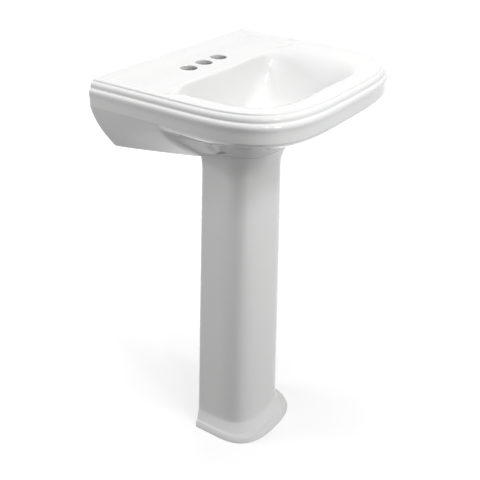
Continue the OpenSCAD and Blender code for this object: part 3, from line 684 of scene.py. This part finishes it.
def drill(piece, radius, low, high, lip, place, turns=96, axis="Z"):
    """Drills a hole whose ends open out in a quarter round."""
    q, wide = np.linspace(0, math.pi / 2, 6), radius + lip + 0.0004
    up = [(radius + lip * (1 - math.cos(t)), high - lip + lip * math.sin(t)) for t in q]
    down = [(radius + lip * (1 - math.cos(t)), low + lip - lip * math.sin(t)) for t in q[::-1]]
    cut(piece, lathe("drill", [
        (ON_AXIS, low - 0.003), (wide, low - 0.003), *down, *up, (wide, high + 0.003),
        (ON_AXIS, high + 0.003)], place, turns, axis))


for x in (-TAP_PITCH, 0, TAP_PITCH):
    drill(basin, TAP_R, HOLLOW_TOP, DECK_Z, TAP_LIP, (x, -TAP_Y, 0))
drill(basin, HOLE_R, BOSS_Z, DRAIN_Z, DRAIN_LIP, drain)
for x in (-STUD_X, STUD_X):
    drill(basin, STUD_HOLE_R, 0.001, 0.012, STUD_LIP, (x, 0, STUD_Z), 48, "Y")
finish_piece(basin, "china")
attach(basin, "basin_and_pedestal")
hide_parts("basin")
points = np.array([v.co for v in basin.data.vertices])
print("basin box:", np.round([points.min(0), points.max(0)], 4).tolist())

# %% [markdown]
# ## The pedestal, as a Geometry Nodes tree
#
# The pedestal follows a rule all the way up. Its plan is the same bowed outline at every level,
# open at the back, and only its width, its reach to the front and its squareness change with
# height. Geometry Nodes suit that: formulas bend a flat grid into the wall, and each size is a
# named input that can be changed later. The real one is cast in the same way, as a wall of even
# thickness inside a plaster mould.

# %% Helpers that write formulas as nodes


class Formula:
    """A value in a node tree that can be used with + - * / and **, like a number."""

    def __init__(self, tree, value):
        self.tree, self.value = tree, value

    def of(self, operation, *others):
        node = node_of(self.tree, "ShaderNodeMath", enumerate((self, *others)),
                       operation=operation)
        return Formula(self.tree, node.outputs[0])

    __add__ = partialmethod(of, "ADD")
    __sub__ = partialmethod(of, "SUBTRACT")
    __mul__ = partialmethod(of, "MULTIPLY")
    __truediv__ = partialmethod(of, "DIVIDE")
    __pow__ = partialmethod(of, "POWER")

    def __rsub__(self, other):
        return Formula(self.tree, float(other)).of("SUBTRACT", self)

    def towards(self, other, share):
        """Straight mix of this value and another."""
        return self + (other - self) * share

    def ramp(self, first, last, low=0.0, high=1.0):
        """low before first, high after last, and even in between."""
        return Formula(self.tree, between(self.tree, self, low, high, first, last))


SOCKETS = {int: "Int", float: "Float", tuple: "Vector", bpy.types.Material: "Material"}


def new_tree(name, sizes):
    """Empty Geometry Nodes tree, its group input, and its sizes as named inputs."""
    tree = bpy.data.node_groups.new(name, "GeometryNodeTree")
    add = tree.interface.new_socket
    add("Geometry", in_out="INPUT", socket_type="NodeSocketGeometry")
    for title, value in sizes.items():
        add(title, in_out="INPUT", socket_type="NodeSocket" + SOCKETS[type(value)])
    add("Geometry", in_out="OUTPUT", socket_type="NodeSocketGeometry")
    group = tree.nodes.new("NodeGroupInput")
    return tree, group, {title: Formula(tree, group.outputs[title]) for title in sizes}


def end_tree(tree, group, made):
    """Ends a tree: instances made real, smooth, with its material."""
    real = node_of(tree, "GeometryNodeRealizeInstances", [(0, made)])
    smooth = node_of(tree, "GeometryNodeSetShadeSmooth", [("Geometry", real.outputs[0])])
    paint = node_of(tree, "GeometryNodeSetMaterial", [
        ("Geometry", smooth.outputs[0]), ("Material", group.outputs["Finish"])])
    node_of(tree, "NodeGroupOutput", [(0, paint.outputs[0])])


def made_by(name, tree, sizes):
    """A piece made by a tree with these sizes, as a plain mesh without doubles."""
    piece = linked(name, bpy.data.meshes.new(name))
    mod = piece.modifiers.new("shape", "NODES")
    mod.node_group = tree
    sockets = {s.name: s.identifier for s in tree.interface.items_tree if s.in_out == "INPUT"}
    for title, value in sizes.items():
        mod[sockets[title]] = value
    baked(piece)
    print(piece.name, "open edges:", mended(piece.data, 6e-6))
    return piece


# %% The pedestal's sizes
PEDESTAL = {
    "Height": 0.7077, "Foot width": 0.186, "Top width": 0.161, "Foot front": 0.261,
    "Top front": 0.247, "Rear": NECK_REAR, "Neck width": 2 * NECK_HALF, "Neck front": NECK_FRONT,
    "Flare height": 0.054, "Plinth width": 0.2286, "Plinth front": 0.2917, "Plinth rear": 0.134,
    "Plinth height": 0.037, "Tier height": 0.015, "Squareness": NECK_SQUARE, "Wall": CHINA,
    "Edge": 0.0009, "Points round": 540 // STEP + 1, "Levels": 180 // STEP,
    "Finish": FINISHES["china"]}
# Shares up the grid, where the wall has closed below, its lower edge is turned, the plinth and
# the shaft end, the upper edge starts to turn and the wall to close
SHUT, EDGE_DONE, PLINTH_END, SHAFT_END, EDGE_STARTS, SHUTS = 0.025, 0.05, 0.36, 0.55, 0.95, 0.975
# Shares round the wall, where its bow ends, and where it turns in at the open back and is turned
BOW_END, TURNS_IN, TURNED_IN = 0.86, 0.47, 0.53
TIER_SHARE, STEP_SHARE, TIER_ROUND, TIER_BEND, COVE, NECK_CURVE = 0.66, 0.52, 0.7, 1.4, 1.1, 1.9
FOOT_TURN = 0.019
print("pedestal:", PEDESTAL["Plinth width"], "m wide,", PEDESTAL["Height"], "m high")

# %% The grid that becomes the wall
tree, group, size = new_tree("pedestal wall", PEDESTAL)
grid = node_of(tree, "GeometryNodeMeshGrid", [
    ("Size X", 1.0), ("Size Y", 1.0), ("Vertices X", size["Points round"]),
    ("Vertices Y", size["Levels"])])
place = node_of(tree, "GeometryNodeInputPosition")
split = node_of(tree, "ShaderNodeSeparateXYZ", [(0, place.outputs[0])])
round_it, up_it = (Formula(tree, split.outputs[k]) + 0.5 for k in (0, 1))
print("nodes:", len(tree.nodes))

# %% Up the wall: bottom edge, plinth, shaft, flare, top edge
height, edge = size["Height"], size["Edge"]
plinth, flare = size["Plinth height"], size["Flare height"]
shaft_top = height - flare
z = (up_it.ramp(EDGE_DONE, PLINTH_END) * (plinth - edge)
     + up_it.ramp(PLINTH_END, SHAFT_END) * (shaft_top - plinth)
     + up_it.ramp(SHAFT_END, EDGE_STARTS) * (flare - edge) + edge)
low = up_it.ramp(SHUT, EDGE_DONE, math.pi / 2, 0.0)
high = up_it.ramp(EDGE_STARTS, SHUTS, 0.0, math.pi / 2)
level = z - edge * low.of("SINE") + edge * high.of("SINE")
half_wall = size["Wall"] * 0.5
closing = (1 - edge / half_wall * (1 - low.of("COSINE"))) * (
    1 - edge / half_wall * (1 - high.of("COSINE")))
closing = closing * up_it.ramp(0.0, SHUT) * up_it.ramp(SHUTS, 1.0, 1.0, 0.0)
print("nodes:", len(tree.nodes))

# %% How far each level stands out, 0 to 1, towards the plinth and towards the neck
tier = size["Tier height"]
lower = (1 - (z / tier).of("MINIMUM", 1.0) ** TIER_BEND) ** TIER_ROUND * (
    1 - TIER_SHARE) + TIER_SHARE
upper = z.ramp(tier, plinth, 1.0, 0.0) ** COVE * STEP_SHARE
step = (z - tier).ramp(-0.0008, 0.0006)
foot = lower.towards(upper, step) * (1 - z.ramp(plinth - 0.0005, plinth))
neck = z.ramp(shaft_top, height) ** NECK_CURVE
along = z.ramp(plinth, shaft_top)
wide = (size["Foot width"].towards(size["Top width"], along) * 0.5).towards(
    size["Plinth width"] * 0.5, foot).towards(size["Neck width"] * 0.5, neck)
front = size["Foot front"].towards(size["Top front"], along).towards(
    size["Plinth front"], foot).towards(size["Neck front"], neck)
rear = size["Rear"].towards(size["Plinth rear"], foot)
turn = foot * FOOT_TURN + NECK_TURN
print("nodes:", len(tree.nodes))

# %% Round the wall: from the middle of the front, round the open edge, back inside
side = (round_it - 0.5).of("SIGN")
way = 1 - (round_it * 2 - 1).of("ABSOLUTE")
out = way.ramp(0.0, TURNS_IN) - way.ramp(TURNED_IN, 1.0)
turned = way.ramp(TURNS_IN, TURNED_IN, 0.0, math.pi)
inset = half_wall - half_wall * turned.of("COSINE") * closing
tip = half_wall * turned.of("SINE") * closing
bow = out.ramp(0.0, BOW_END)
quarter = (1 - bow) * (math.pi / 2)
power = size["Squareness"] ** -1.0 * 2.0
x = (wide - inset) * quarter.of("COSINE").of("MAXIMUM", 0.0) ** power
y = turn + (front - inset - turn) * quarter.of("SINE").of("MAXIMUM", 0.0) ** power
straight = out.ramp(BOW_END, 1.0)
y = y - (turn - rear - half_wall) * straight - tip
spot = node_of(tree, "ShaderNodeCombineXYZ", [(0, x * side), (1, y * -1.0), (2, level)])
bent = node_of(tree, "GeometryNodeSetPosition", [
    ("Geometry", grid.outputs[0]), ("Position", spot.outputs[0])])
closed = node_of(tree, "GeometryNodeMergeByDistance", [
    ("Geometry", bent.outputs[0]), ("Distance", 0.000004)])
end_tree(tree, group, closed.outputs[0])
pedestal = made_by("pedestal_china", tree, PEDESTAL)

# %% [markdown]
# ## The lugs inside the foot
#
# Two lugs take the floor screws. They are pressed into the wet clay, so their edges are soft:
# each is a rounded block that is joined to the wall, with a hole whose ends open out.

# %% Floor lugs


def rounded_block(name, low, high, radius):
    """A block between two corners, with its edges rounded."""
    (x0, y0, z0), (x1, y1, z1) = low, high
    verts = [(x, y, z) for z in (z0, z1) for x, y in ((x0, y0), (x1, y0), (x1, y1), (x0, y1))]
    block = piece_from(name, verts, [(0, 3, 2, 1), (4, 5, 6, 7), (0, 1, 5, 4), (1, 2, 6, 5),
                                     (2, 3, 7, 6), (3, 0, 4, 7)])
    mod = block.modifiers.new("soft edges", "BEVEL")
    mod.width, mod.segments = radius, 4
    return baked(block)


LUG_X, LUG_Y, LUG_H, LUG_IN, LUG_OUT, LUG_HALF = 0.066, -0.151, 0.015, 0.012, 0.034, 0.017
LUG_ROUND, SCREW_HOLE_R, SCREW_LIP = 0.0025, 0.004, 0.0008
for side in (-1, 1):
    ends = sorted((side * (LUG_X - LUG_IN), side * (LUG_X + LUG_OUT)))
    cut(pedestal, rounded_block("lug", (ends[0], LUG_Y - LUG_HALF, 0.0),
                                (ends[1], LUG_Y + LUG_HALF, LUG_H), LUG_ROUND), "UNION")
for side in (-1, 1):
    drill(pedestal, SCREW_HOLE_R, 0.0, LUG_H, SCREW_LIP, (side * LUG_X, LUG_Y, 0), 48)
finish_piece(pedestal, "china", 50)
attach(pedestal, "basin_and_pedestal")
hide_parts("pedestal")

# %% [markdown]
# ## Screw threads
#
# A thread is a line that climbs as it turns, so a small tree makes it: a spiral curve with a
# ridge swept along it. The Screw modifier could do it too, but a tree keeps pitch and length as
# named inputs, and one tree serves the waste's fine thread, a stud's two threads and the
# stopper's spring.

# %% The thread's tree
THREAD = {"Turns": 5.0, "Radius": 0.005, "Height": 0.0122, "Ridge": 0.0006, "Sides": 6,
          "Steps": 36, "Place": (0.0, 0.0, 0.0), "Turn": (0.0, 0.0, 0.0),
          "Finish": FINISHES["steel"]}
screw, group, size = new_tree("screw thread", THREAD)
spiral = node_of(screw, "GeometryNodeCurveSpiral", [
    ("Resolution", size["Steps"]), ("Rotations", size["Turns"]),
    ("Start Radius", size["Radius"]), ("End Radius", size["Radius"]),
    ("Height", size["Height"])])
section = node_of(screw, "GeometryNodeCurvePrimitiveCircle", [
    ("Resolution", size["Sides"]), ("Radius", size["Ridge"])])
ridge = node_of(screw, "GeometryNodeCurveToMesh", [
    ("Curve", spiral.outputs[0]), ("Profile Curve", section.outputs[0]), ("Fill Caps", True)])
put = node_of(screw, "GeometryNodeTransform", [
    ("Geometry", ridge.outputs[0]), ("Translation", size["Place"]), ("Rotation", size["Turn"])])
end_tree(screw, group, put.outputs[0])


def thread(name, radius, thread_size, place, turn=(0.0, 0.0, 0.0)):
    """A ridge wound round a core: radius is out to its crest, place is where it starts."""
    pitch, length, ridge = thread_size
    return made_by(name, screw, {
        **THREAD, "Turns": length / pitch, "Radius": radius - ridge, "Height": length,
        "Ridge": ridge, "Place": place, "Turn": turn})


def joined(name, pieces):
    """One piece from several closed ones that overlap."""
    bm = bmesh.new()
    for part in pieces:
        bm.from_mesh(part.data)
    mesh = bpy.data.meshes.new(name)
    bm.to_mesh(mesh)
    bm.free()
    for part in pieces:
        bpy.data.objects.remove(part)
    return linked(name, mesh)


# %% [markdown]
# ## The wall studs
#
# A hanger bolt has two threads: a coarse one with a point for the wall plug, and a fine one for
# the nut. Both studs are alike, so they share one piece.

# %% Two hanger bolts
STUD_R, THIN_R, STUD_OUT, STUD_IN = 0.005, 0.00485, 0.060, -0.034
# Pitch, length and ridge of each thread
FOR_NUT, FOR_PLUG = (0.0015, 0.027, 0.0005), (0.0036, 0.036, 0.0008)
# Radius and depth into the wall, from the end in the room to the point in the wall plug
STUD_CORE = [(ON_AXIS, STUD_IN), (0.0036, STUD_IN), (0.0042, STUD_IN + 0.0008), (0.0042, -0.006),
             (THIN_R, -0.005), (THIN_R, 0.002), (STUD_R, 0.0025), (STUD_R, 0.010),
             (0.0040, 0.012), (0.0039, 0.050), (0.0018, STUD_OUT), (ON_AXIS, STUD_OUT)]


def hanger_bolt(x):
    into_wall = (math.radians(-90), 0.0, 0.0)
    return [
        lathe("stud_core", [(r, -depth) for r, depth in STUD_CORE], (x, 0, STUD_Z), 48, "Y"),
        thread("fine_thread", THIN_R, FOR_NUT, (x, STUD_IN + 0.001, STUD_Z), into_wall),
        thread("coarse_thread", STUD_R, FOR_PLUG, (x, 0.013, STUD_Z), into_wall)]


studs = joined("hanger_bolts", hanger_bolt(-STUD_X) + hanger_bolt(STUD_X))
finish_piece(studs, "steel")
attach(studs, "basin_and_pedestal")
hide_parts("wall_studs")

# %% [markdown]
# ## The waste
#
# The waste is a turned brass casting, chromed, with a flange that lies on the drain's seat and
# a long thread for the nut below. Three ribs in its bore carry the stopper's cartridge.

# %% Waste body with its thread and ribs
WASTE_R, BORE_R, FLANGE_R, FLANGE_Z, WASTE_END = 0.02095, 0.017, 0.030, 0.7278, 0.6358
HUB_Z, HUB_H, HUB_R, ROD_HOLE_R = 0.6758, 0.006, 0.009, 0.0035
LIP_R, THROAT_R, RIB_W, RIB_START, RIB_ROUND = 0.0024, 0.0018, 0.003, 0.0085, 0.0005
CORE_R, WASTE_THREAD = WASTE_R - 0.0009, (0.0018, 0.084, 0.0006)


q = np.linspace(0, math.pi / 2, 7)
lip = [(FLANGE_R - LIP_R + LIP_R * math.cos(t), FLANGE_Z + 0.0006 + LIP_R * math.sin(t))
       for t in q]
throat = [(BORE_R + THROAT_R * (1 - math.sin(t)), FLANGE_Z + 0.0012 + THROAT_R * math.cos(t))
          for t in q]
profile = [(BORE_R, WASTE_END), (CORE_R - 0.0004, WASTE_END), (CORE_R, WASTE_END + 0.0005),
           (CORE_R, FLANGE_Z - 0.004), (WASTE_R, FLANGE_Z - 0.003), (WASTE_R, FLANGE_Z),
           (FLANGE_R - 0.0006, FLANGE_Z)] + lip + throat
hub = [(ROD_HOLE_R, HUB_Z), (HUB_R - 0.0005, HUB_Z), (HUB_R, HUB_Z + 0.0005),
       (HUB_R, HUB_Z + HUB_H), (ROD_HOLE_R, HUB_Z + HUB_H)]
parts = [lathe("waste_shell", profile, drain, 128),
         thread("waste_thread", WASTE_R, WASTE_THREAD, (0, -DRAIN_Y, WASTE_END + 0.0012)),
         lathe("hub", hub, drain, 64)]
for angle in (270, 390, 510):
    rib = rounded_block("rib", (-RIB_W / 2, RIB_START, HUB_Z),
                        (RIB_W / 2, BORE_R + 0.0005, HUB_Z + HUB_H), RIB_ROUND)
    rib.data.transform(Matrix.Translation(drain) @ Matrix.Rotation(math.radians(angle), 4, "Z"))
    parts.append(rib)
waste_piece = joined("waste_casting", parts)
finish_piece(waste_piece, "chrome")
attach(waste_piece, "basin_and_pedestal")
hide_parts("waste_body")

# %% [markdown]
# ## The stopper's spring
#
# The coil spring stands on the cartridge's floor and carries the plunger. When the cap is pushed
# down, the real spring closes up.

# %% The stopper's coil spring
WIRE_R, COILS, TRAVEL = 0.0006, 5.0, 0.008
low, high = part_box("stopper_spring")
tall = high[2] - low[2]
rise = tall - 2 * WIRE_R
spring = thread("stopper_coil", (high[0] - low[0]) / 2, (rise / COILS, rise, WIRE_R),
                (0, -DRAIN_Y, low[2] + WIRE_R))
finish_piece(spring, "steel")
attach(spring, "basin_and_pedestal")
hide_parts("stopper_spring")
(tall - TRAVEL) / tall
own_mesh(spring)
print("spring's height:", round(tall, 5), "m, pressed:", round(tall - TRAVEL, 5), "m")

# %% [markdown]
# ## Pieces kept from the model
#
# The other fittings already have their true shape, so they only get their finish.

# %% Finishes of the kept pieces
for part in frame["record"]["subparts"]:
    for slot in frame["nodes"][part["node"]].material_slots:
        slot.material = FINISHES[part["material_slot"]]

# %% [markdown]
# ## Floor and room
#
# The photograph has a plain white background, as from a sweep of paper that is lit apart from
# the object. Here the floor and the room shine for the camera and in reflections only, so the
# background is white and the china isn't lit by it. The floor still takes the object's shadow,
# and further out, where no shadow falls, it is plain white.

# %% What the camera and reflections see of the room


def seen_directly(tree):
    """1 for rays from the camera and for reflections, 0 for the light that falls on things."""
    path = node_of(tree, "ShaderNodeLightPath")
    total = path.outputs["Is Camera Ray"]
    for title in ("Is Glossy Ray", "Is Transmission Ray"):
        total = node_of(tree, "ShaderNodeMath", [(0, total), (1, path.outputs[title])],
                        operation="ADD", use_clamp=True).outputs[0]
    return total


FLOOR_SIZE, FLOOR_PALE, FLOOR_SEEN = 40, 0.08, 0.42
GLOW_NEAR, GLOW_FAR, NEAR_END, FAR_START = 0.66, 1.0, 0.5, 2.2


# The floor is dark to the light on things, and pale and faintly shining to the camera
bpy.ops.mesh.primitive_plane_add(size=FLOOR_SIZE)
floor = bpy.context.object
floor.name = "floor"
mat, tree, shader, place = new_material("pale_floor")
seen = seen_directly(tree)
away = node_of(tree, "ShaderNodeVectorMath", [(0, place)], operation="LENGTH")
shine = between(tree, away.outputs["Value"], GLOW_NEAR, GLOW_FAR, NEAR_END, FAR_START)
fill(tree, shader, [
    ("Base Color", between(tree, seen, FLOOR_PALE, FLOOR_SEEN)), ("Roughness", 0.9),
    ("Specular IOR Level", 0.0), ("Emission Color", (1, 1, 1, 1)),
    ("Emission Strength", between(tree, seen, 0.0, shine))])
floor.data.materials.append(mat)
print("floor:", floor.name)

# %% The room
ROOM_LIGHT, ROOM_SEEN = 0.01, 1.0
world = bpy.data.worlds.new("room")
world.use_nodes = True
bpy.context.scene.world = world
room = world.node_tree
fill(room, room.nodes["Background"], [
    ("Color", (1, 1, 1, 1)),
    ("Strength", between(room, seen_directly(room), ROOM_LIGHT, ROOM_SEEN))])
print("room:", world.name)

# %% [markdown]
# ## Light
#
# White china on white needs soft light. In the photograph the top is bright, the left side is
# grey, and the column has a paler stripe. So a broad soft box hangs above, two small ones stand
# in front, one low behind lights the left side, and weak ones keep the rest from going dark.
# Glaze mirrors every lamp, so only one in front and a narrow strip are left to show in it, as
# the short highlights on the rolls and in the bowl.

# %% Soft boxes and view
LIT_MIDDLE = Vector((0, -0.2, 0.55))
# Azimuth, elevation, distance, width and height, watts, and whether the glaze mirrors it
LIGHTS = {
    "key": (3, 49, 3.0, (0.4, 0.4), 19.0, False),
    "key_left": (-17, 38, 3.0, (0.4, 0.4), 18.0, True),
    "top": (0, 88, 3.0, (1.8, 1.8), 58.0, False),
    "low_behind_left": (-152, 10, 3.0, (1.0, 1.0), 58.0, False),
    "low_right": (20, 8, 3.0, (1.2, 1.0), 8.0, False),
    "low_left": (-20, -15, 1.4, (0.5, 0.5), 5.0, False),
    "fill": (128, 28, 3.0, (1.2, 1.2), 16.0, False),
    "strip": (-38, 44, 3.0, (0.1, 0.35), 6.0, True),
}
for name, (azimuth, elevation, distance, size, power, mirrored) in LIGHTS.items():
    way = direction(azimuth, elevation)
    data = bpy.data.lights.new(name, "AREA")
    data.shape, data.size, data.size_y, data.energy = "RECTANGLE", *size, power
    light = linked(name, data)
    light.location = LIT_MIDDLE + way * distance
    light.rotation_euler = (-way).to_track_quat("-Z", "Y").to_euler()
    light.visible_glossy, light.visible_camera = mirrored, False
bpy.context.scene.view_settings.view_transform = "Standard"
print("lights:", list(LIGHTS))
